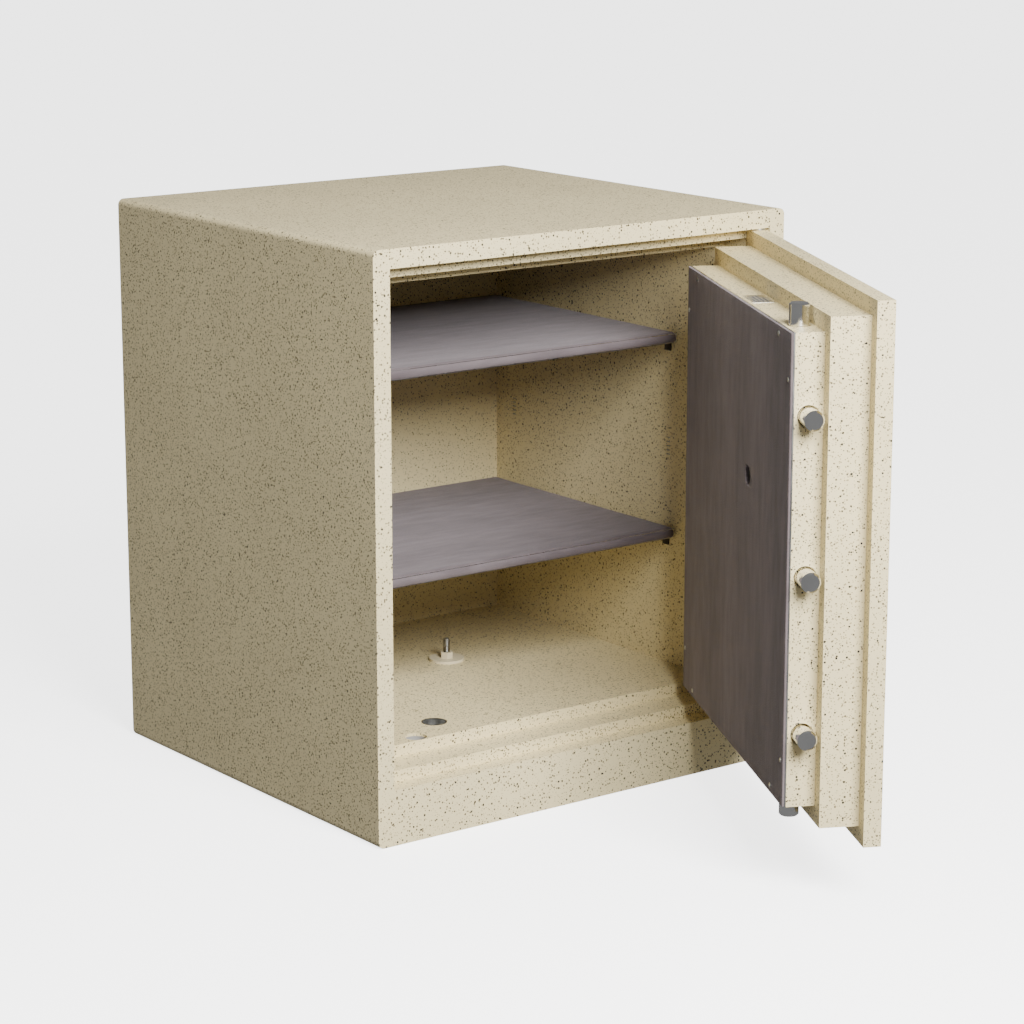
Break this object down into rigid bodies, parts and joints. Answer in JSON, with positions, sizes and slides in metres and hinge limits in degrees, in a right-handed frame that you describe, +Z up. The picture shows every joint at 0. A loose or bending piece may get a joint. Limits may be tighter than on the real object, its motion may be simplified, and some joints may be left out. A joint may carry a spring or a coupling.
{
  "type": "in room safe",
  "caption": "Free-standing steel safe with a stepped door on concealed pins, throw bolts on three sides, a dial lock, a lever handle and fabric-covered shelves.",
  "frame": {"origin": "underside of the cabinet, at the middle of its footprint", "axes": "+Z up, the door side faces -Y, the hinge is on the +X side"},
  "size_m": [0.54, 0.9304, 0.62],
  "materials": {
    "speckled_paint": "cream textured powder coat with fine dark flecks",
    "cast_barrier": "cast concrete fill, out of sight",
    "velour": "short-pile mauve-grey velour",
    "bolt_chrome": "polished",
    "plated_steel": "zinc plated",
    "dark_steel": "oiled",
    "painted_foot": "cream paint",
    "handle_chrome": "polished",
    "lock_alloy": "die cast",
    "lock_brass": "machined",
    "dial_black": "satin black",
    "dial_satin": "satin",
    "label_foil": "blank foil"
  },
  "bodies": {
    "cabinet": {"outer_wrap": "speckled_paint", "rear_panel": "speckled_paint", "frame_sill": "speckled_paint", "frame_head": "speckled_paint", "frame_left_jamb": "speckled_paint", "frame_right_jamb": "speckled_paint", "liner_floor": "speckled_paint", "liner_ceiling": "speckled_paint", "liner_left_wall": "speckled_paint", "liner_right_wall": "speckled_paint", "liner_back": "speckled_paint", "barrier_left": "cast_barrier", "barrier_right": "cast_barrier", "barrier_top": "cast_barrier", "barrier_bottom": "cast_barrier", "barrier_rear": "cast_barrier", "shelf_clips": "dark_steel", "lower_shelf_sleeve": "velour", "lower_shelf_tray": "plated_steel", "upper_shelf_sleeve": "velour", "upper_shelf_tray": "plated_steel", "anchor_sleeves": "plated_steel", "anchor_plate": "painted_foot", "anchor_nut": "painted_foot", "anchor_stud": "plated_steel", "hinge_pins": "dark_steel", "hinge_washers": "plated_steel"},
    "door": {"door_slab": "speckled_paint", "step_tray": "speckled_paint", "door_fill": "cast_barrier", "hard_plate": "dark_steel", "shaft_sleeves": "lock_brass", "bolt_box": "speckled_paint", "bolt_bushes": "speckled_paint", "dog_bolts": "bolt_chrome", "blank_label": "label_foil", "cover_panel": "plated_steel", "cover_facing": "velour", "cover_screws": "plated_steel", "bolt_guides": "plated_steel", "handle_rose": "handle_chrome", "dial_ring": "dial_satin", "lock_case": "lock_alloy", "lock_lid": "lock_alloy"},
    "side_bolt_set": {"side_bolts": "bolt_chrome", "bolt_bar": "plated_steel"},
    "top_bolt_set": {"top_bolt": "bolt_chrome", "top_link": "plated_steel"},
    "bottom_bolt_set": {"bottom_bolt": "bolt_chrome", "bottom_link": "plated_steel"},
    "handle": {"handle_hub": "handle_chrome", "handle_lever": "handle_chrome", "handle_spindle": "handle_chrome", "bolt_cam": "plated_steel", "cam_pins": "plated_steel", "spindle_clip": "plated_steel"},
    "dial": {"dial": "dial_black", "dial_shaft": "lock_brass", "lock_wheels": "lock_brass"},
    "lock_bolt": {"lock_bolt": "lock_brass"}
  },
  "joints": [
    {"name": "door_hinge", "type": "hinge", "parent": "cabinet", "child": "door", "pos_m": [0.24, -0.242, 0.33], "axis": [0, 0, 1], "range_deg": [-63, 37]},
    {"name": "handle_turn", "type": "hinge", "parent": "door", "child": "handle", "pos_m": [0.11093, -0.51293, 0.29], "axis": [-0.891, 0.454, 0], "range_deg": [0, 60]},
    {"name": "side_bolts_slide", "type": "slide", "parent": "door", "child": "side_bolt_set", "axis": [0.454, 0.891, 0], "range_m": [0, 0.022]},
    {"name": "top_bolt_slide", "type": "slide", "parent": "door", "child": "top_bolt_set", "axis": [0, 0, -1], "range_m": [0, 0.022]},
    {"name": "bottom_bolt_slide", "type": "slide", "parent": "door", "child": "bottom_bolt_set", "axis": [0, 0, 1], "range_m": [0, 0.022]},
    {"name": "dial_turn", "type": "hinge", "parent": "door", "child": "dial", "pos_m": [0.11093, -0.51293, 0.394], "axis": [-0.891, 0.454, 0], "continuous": true},
    {"name": "lock_bolt_slide", "type": "slide", "parent": "door", "child": "lock_bolt", "axis": [0, 0, 1], "range_m": [-0.01, 0]}
  ],
  "couplings": [
    {"joint": "side_bolts_slide", "follows": "handle_turn", "m_per_rad": 0.021},
    {"joint": "top_bolt_slide", "follows": "handle_turn", "m_per_rad": 0.021},
    {"joint": "bottom_bolt_slide", "follows": "handle_turn", "m_per_rad": 0.021}
  ]
}
